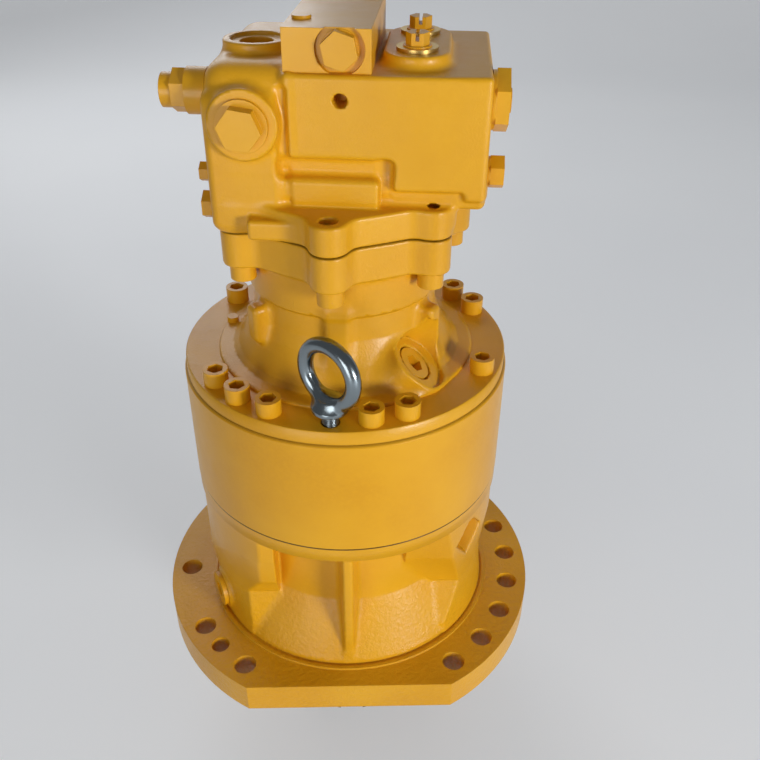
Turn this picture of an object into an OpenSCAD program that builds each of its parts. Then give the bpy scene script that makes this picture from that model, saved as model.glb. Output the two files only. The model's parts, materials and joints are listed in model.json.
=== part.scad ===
// Hydraulic swing motor with a spring applied brake and a two stage
// planetary gearbox, standing on its output pinion.
// The origin is the centre of the lower face of the mounting flange.
// +Z runs up the output axis to the port head, and -Y faces the front flat.

/* [Mounting flange] */
// Outside diameter of the mounting flange
flange_d = 438; // [432:1:444]
// Thickness of the mounting flange
flange_t = 36; // [32:1:40]
// Distance across the two flats of the mounting flange
flange_flats = 378; // [374:1:400]
// Diameter of the flange holes
flange_hole_d = 24; // [20:1:26]
// Diameter of the two smaller jacking holes
jack_hole_d = 20; // [16:1:22]
// Diameter of the centring spigot below the flange
spigot_d = 280; // [270:1:300]
// Height of the centring spigot
spigot_h = 12; // [10:1:16]

/* [Gear housing] */
// Height from the flange face to the ring gear joint
housing_h = 218; // [214:1:230]
// Height of the band under the ring gear
band_h = 16; // [12:1:20]
// Diameter of the waist above the cast cone
waist_d = 260; // [256:1:266]
// Height at which the cast cone meets the waist
waist_z = 107; // [100:1:112]
// Thickness of the front and back ribs
rib_t = 14; // [10:1:20]
// Diameter over the side pads
pad_d = 317; // [312:1:319]

/* [Gear train] */
// Module of the planetary gears
gear_m = 3.5; // [3.4:0.05:3.5]
// Backlash taken off each gear tooth flank
backlash = 0.3; // [0.28:0.01:0.4]
// Height of the ring gear
ring_h = 128; // [128:1:140]
// Face width of the second stage gears
face2 = 60; // [50:1:60]
// Face width of the first stage gears
face1 = 26; // [20:1:26]
// Module of the output pinion
pinion_m = 10; // [9:0.5:10]
// Number of teeth of the output pinion
pinion_z = 14; // [12:1:14]
// Face width of the output pinion
pinion_w = 100; // [80:1:120]
// Distance from the flange face down to the pinion
pinion_gap = 58; // [50:1:80]

/* [Motor casing] */
// Thickness of the casing flange
case_flange_t = 14.5; // [12:0.5:18]
// Height of the casing from the ring gear to the port head
case_h = 165; // [165:1:175]
// Diameter of the raised foot on the casing flange
foot_d = 262; // [256:1:266]
// Diameter of the neck under the port head
neck_d = 188; // [186:1:194]
// Thread diameter of the casing screws and head bolts
bolt_d = 16; // [14:1:16]

/* [Port head] */
// Angle of the port head about the axis
head_turn = -6; // [-20:1:20]
// Length of the port head across its front face
head_l = 237; // [234:1:244]
// Distance of the front face of the port head from the axis
head_front = 80; // [78:1:82]
// Distance of the back face of the port head from the axis
head_back = 96; // [92:1:110]
// Height of the port head above the casing
head_h = 137; // [134:1:145]
// Thickness of the bolted flange under the port head
head_flange_t = 27; // [25:1:28]
// Radius of the lugs round the head bolts
lug_r = 20; // [18:1:20]

/* [Valves and plugs] */
// Width of the valve block
block_w = 71; // [66:1:74]
// Height of the valve block
block_h = 34; // [32:1:38]
// Length of the valve block
block_l = 150; // [140:1:155]
// Diameter of the front relief valve boss
front_boss_d = 59; // [54:1:60]
// Hexagon size across flats of the front relief plug
front_hex = 32; // [30:1:36]
// Diameter of the relief cartridge on the left side
cartridge_d = 39; // [36:1:40]
// Radius of the raised oval boss on the top
oval_r = 28; // [27:1:29]
// Distance between the two check valve plugs
check_pitch = 64; // [62:1:66]

/* [Motor rotor] */
// Diameter of the pistons
piston_d = 18; // [14:1:18]
// Number of pistons
piston_n = 9; // [7:1:9]
// Angle of the swash plate
swash_a = 15; // [10:1:15]
// Diameter of the drive shaft
shaft_d = 36; // [32:1:38]

/* [Hidden] */
$fn = 96;
// Paint and metal colours
paint = "#e0a22c";
steel = "#b9bcc0";
dark = "#6b6e72";
zinc = "#dfe3e6";
brass = "#c9a86a";
rubber = "#222426";
// Clearances: seat of one fixed piece on another, free gap of a moving one
seat = 0.3;
free = 0.35;
fit = 0.1;
// Sizes that follow the mounting flange and the neck
ring_n = 72;
ring_d = gear_m * ring_n + 83;
band_d = ring_d - 1;
case_flange_d = ring_d - 5;
case_pcd = ring_d - 37;
flange_pcd = flange_d - 46;
rim_d = flange_d - 101;
cone_d = flange_d - 118;
cavity_d = neck_d - 24;
head_bolt_r = neck_d / 2 + 14;
head_left = neck_d / 2 + 13;
rotor_d = neck_d - 74;
piston_r = rotor_d / 2 - 17;
// Levels of the main joints
ring_z = housing_h;
case_z = ring_z + ring_h;
deck_z = case_z + case_flange_t;
head_z = case_z + case_h;
lug_z = head_z + head_flange_t;
top_z = head_z + head_h;
// Screws
hole_d = bolt_d + 1.5;
tap_depth = 20;
// Bearings on the output shaft: outer, inner and mean radii, width, level
lower_or = 100;
lower_ir = 55;
lower_w = 53;
lower_z = 10;
upper_or = 80;
upper_ir = 45;
upper_w = 40;
upper_z = housing_h - upper_w - 28;
cup_t = 9;
cone_t = 9;
roller_tilt = 10;
lower_n = 18;
upper_n = 18;
// Seal cover under the lower bearing
cover_r = spigot_d / 2 - 25;
cover_bolt_r = (cover_r + lower_or) / 2;
cover_bolt_d = 8;
cover_bolt_n = 8;
seal_r = 76;
journal_r = 60;
chamber_r = 122;
// Planetary stages: teeth, centre distances and levels
sun2_n = 24;
planet2_n = 24;
sun1_n = 18;
planet1_n = 27;
arm2 = gear_m * (sun2_n + planet2_n) / 2;
arm1 = gear_m * (sun1_n + planet1_n) / 2;
plate2_z = upper_z + upper_w + 4;
plate2_t = 27;
gear2_z = plate2_z + plate2_t + 3;
pin2_r = 18;
carrier2_r = 117;
plate1_z = gear2_z + face2 + 8;
plate1_t = 15;
gear1_z = plate1_z + plate1_t + 3;
pin1_r = 16;
carrier1_r = 112;
neck2_r = 20;
pinion_z0 = -pinion_gap - pinion_w;
// Casing interior
floor_z = case_z + 38;
bearing_or = 40;
bearing_w = 18;
bearing_z = case_z + 14;
motor_seal_r = 26;
motor_seal_z = case_z + 2;
motor_seal_w = 9;
cavity_r = cavity_d / 2;
brake_bore_r = cavity_r + 4;
upper_case_t = 34;
upper_case_z = head_z - upper_case_t;
neck_z = upper_case_z - 41;
// Motor rotor levels
swash_z = case_z + 62;
slipper_h = 7;
plate_v = 6;
block_top_z = head_z - plate_v - free;
block_z = floor_z + 47;
disc_z = floor_z + 58;
disc_t = 4;
disc_n = 4;
stack_t = 2 * disc_n * disc_t;
piston_len = 62;
brake_z = disc_z + stack_t + disc_t + seat;
brake_h = 18;
block_r = rotor_d / 2;
// Head bolt angles and casing screw angles
lug_a = [-143, -90, -37, 16, 90, 164];
case_a = [-146.5, -132.5, -118, -80.7, -67.3, -25.5, 22.1, 36.3, 78, 92,
    106, 145.1];
eye_a = -95;
flange_a = [-54, -40, -26, -12, 2, 16, 40, 54, 126, 140, -176.6, -148,
    -126];
jack_a = [-138, 152];
// Head features in the port head's own frame
head_r_x = head_l - head_left;
boss_x = -70.5;
boss_z = top_z - 38.5;
boss_y = -head_front - 12;
port_x = -70;
port_boss_r = 29;
port_y = -12;
oval_x = 67;
check_y = -30;
oval_z = top_z + 10;
block_x = -2.5;
block_y = -head_front + 6;
cart_y = -42;
cart_z = top_z - 25;
end_y = -45;
end_z = top_z - 25;
end2_z = top_z - 86;
// Plugs, lifting eye and small fittings
plug_a = [-155, 150];
plug_z = 61;
plug_boss_r = 23;
plug_r = 14;
plug_seat_r = max(pad_d / 2 + 4, cone_d / 2 + 2);
bleed_a = 165.6;
bleed_r = 125;
port_tilt = 42;
port_turn = -12;
port_pos = [67.2, -84, 383];
port_plug_r = 14;
eye_collar = 35;
eye_in = 42;
eye_t = 14.5;
eye_base = 15;
eye_turn = -41;
side_plug_z = [head_z + 18, head_z + 48];
block_screws = [[-27, -37], [-27, 62], [22, 62]];
main_port_x = [-40, 45];
main_port_l = 48;
spring_r = (brake_bore_r + block_r + 5) / 2;

// Place a child at an angle, radius and level about the main axis
module polar(a, r, z = 0) {
    rotate([0, 0, a]) translate([r, 0, z]) children();
}

// Ring between two radii, standing on a level
module ring(r_out, r_in, h, z = 0) {
    translate([0, 0, z]) rotate_extrude()
        translate([r_in, 0]) square([r_out - r_in, h]);
}

// Round bar standing on a level
module bar(r, h, z = 0) {
    translate([0, 0, z]) cylinder(r = r, h = h);
}

// Hexagonal bar given by its size across flats
module hex(af, h, z = 0) {
    translate([0, 0, z]) cylinder(r = af / 2 / cos(30), h = h, $fn = 6);
}

// Involute of an angle, in degrees
function inv(a) = tan(a) * 180 / PI - a;

// Half the angle of a tooth at radius r, thinned at the pitch line
function half_tooth(r, n, m, thin) =
    let (rp = m * n / 2, rb = rp * cos(20))
    90 / n + inv(20) - inv(acos(min(1, rb / r))) - thin / rp * 180 / PI;

// Radii of the points along one tooth flank
function flank_radii(n, m, add, ded) =
    let (rp = m * n / 2, r0 = rp - ded, r1 = rp + add,
        rs = max(rp * cos(20) * 1.0005, r0))
    concat(r0 < rs ? [r0] : [],
        [for (k = [0:4]) rs + (r1 - rs) * k / 4]);

// Outline of a spur gear with a tooth centred on the X axis
function gear_points(n, m, add, ded, thin) =
    let (rs = flank_radii(n, m, add, ded), c = len(rs))
    [for (i = [0:n - 1]) for (k = [0:2 * c - 1])
        let (up = k < c, r = rs[up ? k : 2 * c - 1 - k],
            h = half_tooth(r, n, m, thin),
            a = i * 360 / n + (up ? -h : h))
        [r * cos(a), r * sin(a)]];

// Spur gear standing on a level
module gear(n, m, h, z, turn = 0) {
    translate([0, 0, z]) rotate([0, 0, turn]) linear_extrude(h)
        polygon(gear_points(n, m, m, 1.25 * m, backlash / 2));
}

// Socket head cap screw with its head standing on z = 0
module cap_screw(d, len) {
    difference() {
        union() {
            bar(d * 0.75, d);
            bar(d / 2, len + d / 2, -len);
        }
        hex(d * 0.875, d, d * 0.45);
    }
}

// Hexagon head screw plug with a round flange, its seat on z = 0
module hex_plug(af, flange_r, flange_h, head_h, shank_r, shank_h) {
    bar(flange_r, flange_h);
    hex(af, head_h, flange_h);
    bar(shank_r, shank_h + 1, -shank_h);
}

// Children turned with the port head
module in_head() {
    rotate([0, 0, head_turn]) children();
}

// Point a child's +Z along -Y, +X or -X
module to_front() { rotate([90, 0, 0]) children(); }
module to_right() { rotate([0, 90, 0]) children(); }
module to_left() { rotate([0, -90, 0]) children(); }
module to_back() { rotate([-90, 0, 0]) children(); }

// Cast bell of the gear housing with its bearing seats
module bell() {
    rotate_extrude() polygon([
        [cover_r, -spigot_h], [cover_r, 0], [lower_or, 0],
        [lower_or, lower_z + lower_w], [lower_or - 10, lower_z + lower_w],
        [lower_or - 10, lower_z + lower_w + 8], [lower_or + 4, 80],
        [lower_or + 4, upper_z - 14], [upper_or - 8, upper_z - 6],
        [upper_or - 8, upper_z], [upper_or, upper_z],
        [upper_or, upper_z + upper_w], [chamber_r, upper_z + upper_w],
        [chamber_r, housing_h], [band_d / 2, housing_h],
        [band_d / 2, housing_h - band_h],
        [band_d / 2 - 9, housing_h - band_h - 5],
        [waist_d / 2, housing_h - band_h - 27],
        [waist_d / 2, waist_z], [cone_d / 2, flange_t + 3],
        [cone_d / 2 + 1, flange_t + 1], [rim_d / 2 - 5, flange_t + 1],
        [rim_d / 2 - 4, flange_t + 3], [rim_d / 2, flange_t + 3],
        [rim_d / 2, flange_t / 2], [spigot_d / 2, flange_t / 2],
        [spigot_d / 2, -spigot_h]]);
}

// Round mounting flange with two flats and its holes
module mounting_flange() {
    difference() {
        intersection() {
            bar(flange_d / 2, flange_t);
            translate([-flange_d / 2, -flange_flats / 2, 0])
                cube([flange_d, flange_flats, flange_t]);
        }
        bar(spigot_d / 2, 3 * flange_t, -flange_t);
        for (a = flange_a) polar(a, flange_pcd / 2, -1)
            bar(flange_hole_d / 2, flange_t + 2);
        for (a = jack_a) polar(a, flange_pcd / 2, -1)
            bar(jack_hole_d / 2, flange_t + 2);
    }
}

// Outline of a side pad, by its half widths from foot to top
function pad_outline(foot, waist, top) =
    let (half = [[foot, flange_t], [foot, 52], [waist, 98], [120, 158],
        [126, top]])
    concat([for (p = half) [-p[0], p[1]]], [for (i = [4:-1:0]) half[i]]);

// Wide cast pads on both sides, cut back by a groove above the foot
module side_pads() {
    top = housing_h - band_h + 1;
    intersection() {
        ring(pad_d / 2, chamber_r + 2, top - flange_t, flange_t);
        union() {
            rotate([90, 0, 90]) linear_extrude(pad_d / 2)
                polygon(pad_outline(119, 97, top));
            rotate([90, 0, -90]) linear_extrude(pad_d / 2)
                polygon(pad_outline(117, 110, top));
        }
    }
}

module gear_housing() color(paint) difference() {
    union() {
        bell();
        mounting_flange();
        side_pads();
        for (s = [-90, 90]) rotate([0, 0, s])
            translate([chamber_r + 2, -rib_t / 2, flange_t])
                cube([pad_d / 2 - chamber_r - 3, rib_t,
                    housing_h - band_h - flange_t + 1]);
        for (a = plug_a) polar(a, lower_or + 20, plug_z)
            to_right() bar(plug_boss_r, plug_seat_r - lower_or - 20);
    }
    for (a = [37, -37, 143, -143]) polar(a, pad_d / 2 + 8, 166)
        rotate([45, 35, 0]) cube(34, center = true);
    for (a = case_a) polar(a, case_pcd / 2, housing_h - tap_depth)
        bar(bolt_d / 2 + fit, tap_depth + 1);
    for (i = [0:cover_bolt_n - 1])
        polar(i * 360 / cover_bolt_n, cover_bolt_r, -1)
            bar(cover_bolt_d / 2 + fit, 20);
    for (a = plug_a) polar(a, plug_seat_r - 22, plug_z)
        to_right() bar(plug_r, 30);
}

module housing_plugs() color(paint) for (a = plug_a)
    polar(a, plug_seat_r, plug_z) to_right() difference() {
        union() {
            bar(plug_r + 6, 5);
            bar(plug_r, 19, -18);
        }
        hex(17, 8, -3);
    }

module seal_cover() color(dark) difference() {
    rotate_extrude() polygon([
        [seal_r, -spigot_h], [cover_r - seat, -spigot_h],
        [cover_r - seat, 0], [lower_or - seat, 0],
        [lower_or - seat, lower_z], [seal_r - 6, lower_z],
        [seal_r - 6, 4], [seal_r, 4]]);
    for (i = [0:cover_bolt_n - 1])
        polar(i * 360 / cover_bolt_n, cover_bolt_r, -spigot_h - 1)
            bar(cover_bolt_d / 2 + 0.5, spigot_h + 2);
}

module seal_cover_bolts() color(steel) for (i = [0:cover_bolt_n - 1])
    polar(i * 360 / cover_bolt_n, cover_bolt_r, -spigot_h)
        mirror([0, 0, 1]) cap_screw(cover_bolt_d, spigot_h + 16);

module output_seal() color(rubber)
    rotate_extrude() polygon([
        [seal_r, -spigot_h + 1], [seal_r, 3], [journal_r + fit + 8, 3],
        [journal_r + fit, 0], [journal_r + fit, -1],
        [seal_r - 4, -1], [seal_r - 4, -spigot_h + 1]]);

// Outer race of a tapered roller bearing with its wide end down
module bearing_cup(ro, w, z) {
    t = tan(roller_tilt);
    m = w / 2 + 1;
    translate([0, 0, z]) rotate_extrude() polygon([
        [ro, 0], [ro, w], [ro - cup_t - t * (w - m), w],
        [ro - cup_t + t * m, 0]]);
}

// Inner race of a tapered roller bearing with two guide ribs
module bearing_cone(ri, w, z) {
    t = tan(roller_tilt);
    m = w / 2 + 1;
    top_r = ri + cone_t - t * (w - 4 - m);
    low_r = ri + cone_t + t * (m - 5);
    translate([0, 0, z]) rotate_extrude() polygon([
        [ri, 0], [ri, w], [top_r + 2, w], [top_r + 2, w - 4],
        [top_r, w - 4], [low_r, 5], [low_r + 4, 5], [low_r + 4, 0]]);
}

// Rollers and cage of a tapered roller bearing
module roller_set(ro, ri, w, z, n) {
    a = roller_tilt;
    rm = (ro - cup_t + ri + cone_t) / 2;
    rr = (ro - cup_t - ri - cone_t) / 2 * cos(a) - free;
    h = w - 14;
    for (i = [0:n - 1]) polar(i * 360 / n, rm, z + w / 2 + 1)
        rotate([0, -a, 0]) cylinder(r = rr, h = h, center = true);
    difference() {
        translate([0, 0, z + w / 2 + 1]) rotate_extrude() polygon([
            [rm + 2 + (h / 2 + 3) * tan(a), -h / 2 - 3],
            [rm - 2 + (h / 2 + 3) * tan(a), -h / 2 - 3],
            [rm - 2 - (h / 2 + 3) * tan(a), h / 2 + 3],
            [rm + 2 - (h / 2 + 3) * tan(a), h / 2 + 3]]);
        for (i = [0:n - 1]) polar(i * 360 / n, rm, z + w / 2 + 1)
            rotate([0, -a, 0])
                cylinder(r = rr + free, h = h + 2 * free, center = true);
    }
}

module lower_bearing_cup() color(steel)
    bearing_cup(lower_or, lower_w, lower_z);
module upper_bearing_cup() color(steel)
    translate([0, 0, 2 * upper_z + upper_w]) mirror([0, 0, 1])
        bearing_cup(upper_or, upper_w, upper_z);
module lower_bearing_cone() color(steel)
    bearing_cone(lower_ir, lower_w, lower_z);
module upper_bearing_cone() color(steel)
    translate([0, 0, 2 * upper_z + upper_w]) mirror([0, 0, 1])
        bearing_cone(upper_ir, upper_w, upper_z);
module lower_rollers() color(steel)
    roller_set(lower_or, lower_ir, lower_w, lower_z, lower_n);
module upper_rollers() color(steel)
    translate([0, 0, 2 * upper_z + upper_w]) mirror([0, 0, 1])
        roller_set(upper_or, upper_ir, upper_w, upper_z, upper_n);

module ring_gear() color(paint) difference() {
    rotate_extrude() polygon([
        [gear_m * ring_n / 2 - 8, ring_z], [ring_d / 2 - 1, ring_z],
        [ring_d / 2, ring_z + 1], [ring_d / 2, case_z - 2],
        [ring_d / 2 - 2, case_z], [gear_m * ring_n / 2 - 8, case_z]]);
    translate([0, 0, ring_z - 1]) linear_extrude(ring_h + 2) polygon(
        gear_points(ring_n, gear_m, 1.25 * gear_m, gear_m,
            -backlash / 2));
    for (a = concat(case_a, [eye_a])) polar(a, case_pcd / 2, ring_z - 1)
        bar(hole_d / 2, ring_h + 2);
}

// Lobed outline shared by the casing flange and the port head flange
module lobed_outline() {
    circle(r = head_bolt_r - 8);
    for (a = lug_a) rotate(a) {
        translate([head_bolt_r, 0]) circle(r = lug_r);
        translate([head_bolt_r / 2, -lug_r])
            square([head_bolt_r / 2, 2 * lug_r]);
    }
    polygon([for (a = lug_a) (head_bolt_r + 8) * [cos(a), sin(a)]]);
}

module motor_casing() color(paint) difference() {
    union() {
        rotate_extrude() polygon([
            [motor_seal_r - 4, case_z], [case_flange_d / 2, case_z],
            [case_flange_d / 2, deck_z - 1],
            [case_flange_d / 2 - 1, deck_z], [foot_d / 2, deck_z],
            [foot_d / 2, deck_z + 2], [neck_d / 2 + 22, deck_z + 4],
            [neck_d / 2 + 16, deck_z + 8], [neck_d / 2 + 12, deck_z + 15],
            [neck_d / 2 + 6, deck_z + 26], [neck_d / 2 + 1, deck_z + 37],
            [neck_d / 2 - 3, deck_z + 50], [neck_d / 2 - 4, neck_z - 8],
            [neck_d / 2 - 4, neck_z],
            [neck_d / 2, neck_z + 2], [neck_d / 2, head_z - 1],
            [motor_seal_r - 4, head_z - 1]]);
        in_head() translate([0, 0, upper_case_z])
            linear_extrude(upper_case_t) lobed_outline();
        for (a = [-141, -29]) in_head() polar(a, 80, deck_z + 33)
            translate([0, -8, 0]) cube([27, 16, 36]);
        polar(-94, neck_d / 2 - 20, deck_z + 10)
            translate([0, -11, 0]) cube([20, 22, neck_z - deck_z - 8]);
        intersection() {
            case_boss() translate([6, 5, -40]) bar(29, 40);
            bar(case_flange_d / 2 - 4, case_h / 2, case_z + 2);
        }
    }
    rotate_extrude() polygon([
        [0, case_z - 1], [motor_seal_r - 3, case_z - 1],
        [motor_seal_r - 3, motor_seal_z], [motor_seal_r, motor_seal_z],
        [motor_seal_r, motor_seal_z + motor_seal_w],
        [motor_seal_r - 2, motor_seal_z + motor_seal_w],
        [motor_seal_r - 2, bearing_z], [bearing_or, bearing_z],
        [bearing_or, bearing_z + bearing_w], [bearing_or + 8, floor_z],
        [cavity_r, floor_z], [cavity_r, brake_z - 2],
        [brake_bore_r, brake_z - 2], [brake_bore_r, head_z + 1],
        [0, head_z + 1]]);
    for (a = concat(case_a, [eye_a])) polar(a, case_pcd / 2, case_z - 1)
        bar(hole_d / 2, case_flange_t + 2);
    for (a = lug_a) in_head() polar(a, head_bolt_r, upper_case_z - 1)
        bar(hole_d / 2, upper_case_t + 2);
    polar(bleed_a, bleed_r, deck_z - 8) bar(6 + fit, 20);
    case_boss() {
        bar(port_plug_r + fit, 30, -22);
        bar(port_plug_r + 5, 30, -8);
    }
}

// Frame of the angled port on the casing: +Z along its axis, on its face
module case_boss() {
    translate(port_pos) rotate([0, port_tilt, port_turn]) children();
}

module case_port_plug() color(paint) case_boss() difference() {
    union() {
        bar(port_plug_r, 14, -20);
        bar(port_plug_r + 3.5, 7, -8);
    }
    hex(17, 10, -10);
}

module bleed_plug() color(paint) polar(bleed_a, bleed_r, deck_z - 8)
    bar(6, 17);

module case_screws() color(paint) for (a = case_a)
    polar(a, case_pcd / 2, deck_z)
        cap_screw(bolt_d, deck_z - housing_h + tap_depth - 1);

module head_bolts() color(paint) for (a = lug_a)
    in_head() polar(a, head_bolt_r, upper_case_z)
        mirror([0, 0, 1])
            cap_screw(bolt_d, upper_case_t + head_flange_t - 6);

module eyebolt() color(zinc) polar(eye_a, case_pcd / 2, deck_z) {
    bar(bolt_d / 2, eye_base + 14, -14);
    translate([0, 0, eye_base]) rotate_extrude() polygon([
        [0, 0], [eye_collar / 2, 0], [eye_collar / 2, 5],
        [eye_collar / 2 - 5, 10], [0, 13]]);
    translate([0, 0, eye_base + 1.5 + eye_in / 2 + eye_t])
        rotate([90, 0, eye_turn - eye_a]) rotate_extrude()
            translate([(eye_in + eye_t) / 2, 0]) circle(d = eye_t);
}

// Cast body of the port head, its plan crossed with its front view
module head_main() {
    intersection() {
        translate([0, 0, head_z]) linear_extrude(head_h) polygon([
            [-head_left, 20], [-head_left + 3, -head_front + 10],
            [-head_left + 10, -head_front],
            [-head_left + 20, -head_front - 4], [-42, -head_front - 4],
            [-36, -head_front], [head_r_x - 47, -head_front],
            [head_r_x - 3, -head_front + 5], [head_r_x, -head_front + 9],
            [head_r_x, head_back - 6], [head_r_x - 6, head_back],
            [-head_left + 10, head_back], [-head_left, head_back - 10]]);
        rotate([90, 0, 0]) linear_extrude(3 * head_back, center = true)
            polygon([
            [-head_left, lug_z - 1], [-38, lug_z - 1], [-35, lug_z + 14],
            [head_r_x - 30, lug_z + 15], [head_r_x - 22, lug_z + 11],
            [head_r_x - 20, lug_z - 3], [head_r_x, lug_z - 3],
            [head_r_x, top_z], [-44, top_z], [-88, top_z - 1],
            [-97, top_z - 6], [-103, top_z - 14],
            [-head_left, top_z - 26]]);
    }
}

module port_head() color(paint) in_head() difference() {
    union() {
        head_main();
        translate([0, 0, head_z]) linear_extrude(head_flange_t)
            lobed_outline();
        translate([0, 0, head_z]) linear_extrude(head_flange_t + 16)
            polygon([[-96, -66], [100, -66], [106, -50], [106, 70],
                [-96, 76]]);
        translate([-head_left + 2, -62, head_z])
            cube([30, 124, head_flange_t + 20]);
        translate([-71, -head_front - 14, head_z + 1])
            cube([47, 60, head_flange_t - 8]);
        translate([boss_x, boss_y, boss_z]) to_back()
            bar(front_boss_d / 2, 60);
        translate([port_x, port_y, top_z - 40]) bar(port_boss_r, 53);
        for (y = [check_y, check_y + check_pitch])
            translate([oval_x, y, top_z - 20]) bar(oval_r, 30);
        translate([oval_x - oval_r, check_y, top_z - 20])
            cube([2 * oval_r, check_pitch, 30]);
        translate([-35, -head_front - 3, lug_z + 1]) cube([81, 40, 24]);
    }
    translate([-35, -head_front - 4, lug_z + 25]) cube([81, 12, 13]);
    for (a = lug_a) polar(a, head_bolt_r, head_z - 1)
        bar(bolt_d / 2 + fit, head_flange_t + 2);
    bar(24, 26, head_z - 1);
    for (a = [-30:30:30], s = [0, 180])
        polar(a + s, piston_r, head_z - 1) bar(6, 22);
    translate([boss_x, boss_y, boss_z]) to_back() bar(15 + fit, 30);
    translate([port_x, port_y, top_z - 12]) {
        bar(14 + fit, 32);
        bar(22, 20, 22);
    }
    translate([-head_left, cart_y, cart_z]) to_right() bar(12 + fit, 28);
    for (y = [check_y, check_y + check_pitch])
        translate([oval_x, y, top_z - 52]) bar(12 + fit, 64);
    translate([8, -head_front, top_z - 20]) to_back() bar(6, 22);
    translate([head_r_x, end_y, end_z]) to_left() bar(18 + fit, 20);
    translate([head_r_x, end_y, end2_z]) to_left() bar(10 + fit, 20);
    for (z = side_plug_z) translate([-head_left, -60, z])
        to_right() bar(7 + fit, 14);
    for (x = main_port_x) translate([x, head_back, top_z - 55]) {
        to_front() bar(12.5, main_port_l);
        for (i = [-1, 1], k = [-1, 1])
            translate([i * 13.1, 0, k * 26.2]) to_front() bar(5, 20);
    }
}

module valve_plate() color(steel) difference() {
    ring(block_r, 22, plate_v, head_z - plate_v);
    for (a = [-30:30:30], s = [0, 180])
        polar(a + s, piston_r, head_z - plate_v - 1) bar(6, plate_v + 2);
}

module valve_block() color(paint) in_head() difference() {
    translate([block_x - block_w / 2, block_y, top_z])
        cube([block_w, block_l, block_h]);
    translate([8, block_y, top_z + block_h * 0.53]) to_back() {
        bar(20, 8, -4);
        bar(13 + fit, 44);
    }
    for (p = block_screws) translate([p[0], p[1], top_z + 8])
        bar(5 + fit, block_h);
}

module valve_block_plug() color(paint) in_head()
    translate([8, block_y + 4, top_z + block_h * 0.53]) to_front()
        rotate([0, 0, -18]) hex_plug(27, 15, 1, 9, 13, 34);

module valve_block_pin() color(paint) in_head() for (p = block_screws)
    translate([p[0], p[1], top_z + block_h]) {
        bar(8, 2.5);
        bar(5, block_h - 8, -block_h + 9);
    }

module front_relief_plug() color(paint) in_head()
    translate([boss_x, boss_y, boss_z]) to_front()
        rotate([0, 0, -8]) hex_plug(front_hex, 22, 3, 11, 15, 26);

module side_relief_cartridge() color(paint) in_head()
    translate([-head_left, cart_y, cart_z]) to_left() {
        bar(cartridge_d / 2, 18);
        hex(32, 12, 18);
        bar(14.5, 10, 30);
        bar(12, 25, -24);
    }

module check_plugs() color(paint) in_head()
    for (y = [check_y, check_y + check_pitch])
        translate([oval_x, y, oval_z + 3]) difference() {
            union() {
                hex(17, 11);
                bar(12, 17, -16);
            }
            translate([-1.5, -20, 5]) cube([3, 40, 10]);
        }

module check_plug_washers() color(brass) in_head()
    for (y = [check_y, check_y + check_pitch])
        translate([oval_x, y, 0]) ring(17.5, 12 + fit, 3, oval_z);

module top_port_plug() color(paint) in_head()
    translate([port_x, port_y, top_z - 12]) difference() {
        bar(14, 14);
        hex(10, 8, 8);
    }

module end_plug_large() color(paint) in_head()
    translate([head_r_x, end_y, end_z]) to_right() {
        hex_plug(45, 24, 3, 11, 18, 18);
        bar(10, 3, 13);
    }

module end_plug_small() color(paint) in_head()
    translate([head_r_x, end_y, end2_z]) to_right()
        hex_plug(25, 13, 3, 12, 10, 18);

module side_plugs() color(paint) in_head() for (i = [0, 1])
    translate([-head_left, -60, side_plug_z[i]]) to_left()
        hex_plug(22 - 7 * i, 12.5 - 4 * i, 2, 8, 7, 12);

// Check valve poppets and the springs that close them
module poppet(y) in_head() translate([oval_x, y, top_z - 51]) {
    bar(12 - seat, 4, 0);
    bar(9, 8, 3);
    bar(4, 24, 10);
}
module front_check_poppet() color(steel) poppet(check_y);
module back_check_poppet() color(steel) poppet(check_y + check_pitch);
module check_springs() color(steel) in_head()
    for (y = [check_y, check_y + check_pitch])
        translate([oval_x, y, 0])
            ring(9, 7, oval_z + 3 - 16 - top_z + 51 - 12, top_z - 51 + 11.5);

// Output shaft forged in one piece with its pinion
module pinion_shaft() color(dark) {
    gear(pinion_z, pinion_m, pinion_w, pinion_z0, 90 / pinion_z * 4);
    rotate_extrude() polygon([
        [0, pinion_z0 + pinion_w - 1], [50, pinion_z0 + pinion_w - 1],
        [50, -pinion_gap + 8], [journal_r, -pinion_gap + 18],
        [journal_r, 4], [lower_ir, 4], [lower_ir, lower_z + lower_w + 6],
        [lower_ir - 5, lower_z + lower_w + 12], [upper_ir + 7, upper_z - 12],
        [upper_ir + 7, upper_z], [upper_ir, upper_z],
        [upper_ir, upper_z + upper_w], [upper_ir - 3, upper_z + upper_w],
        [upper_ir - 3, plate2_z + plate2_t - 8],
        [0, plate2_z + plate2_t - 8]]);
}

module second_carrier() color(steel) difference() {
    union() {
        bar(carrier2_r, plate2_t, plate2_z);
        ring(upper_ir + 13, upper_ir - 3 + fit, 5, plate2_z - 4);
    }
    bar(upper_ir - 3 + fit, plate2_t + 10, plate2_z - 5);
    for (a = [0:90:270]) polar(a, arm2, plate2_z - 1)
        bar(pin2_r, plate2_t + 2);
    for (a = [45:90:315]) polar(a, arm2, plate2_z - 1)
        bar(14, plate2_t + 2);
}

module second_pins() color(steel) for (a = [0:90:270]) polar(a, arm2) {
    bar(pin2_r, plate2_t + face2 + 7, plate2_z);
    bar(pin2_r + 6, 2.5, gear2_z - 3);
    bar(pin2_r + 6, 2.5, gear2_z + face2 + free);
}

module shaft_lock_plate() color(steel) difference() {
    bar(36, 6, plate2_z + plate2_t - 8);
    for (a = [0:120:240]) polar(a, 26, plate2_z + plate2_t - 9)
        bar(5, 12);
}

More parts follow.
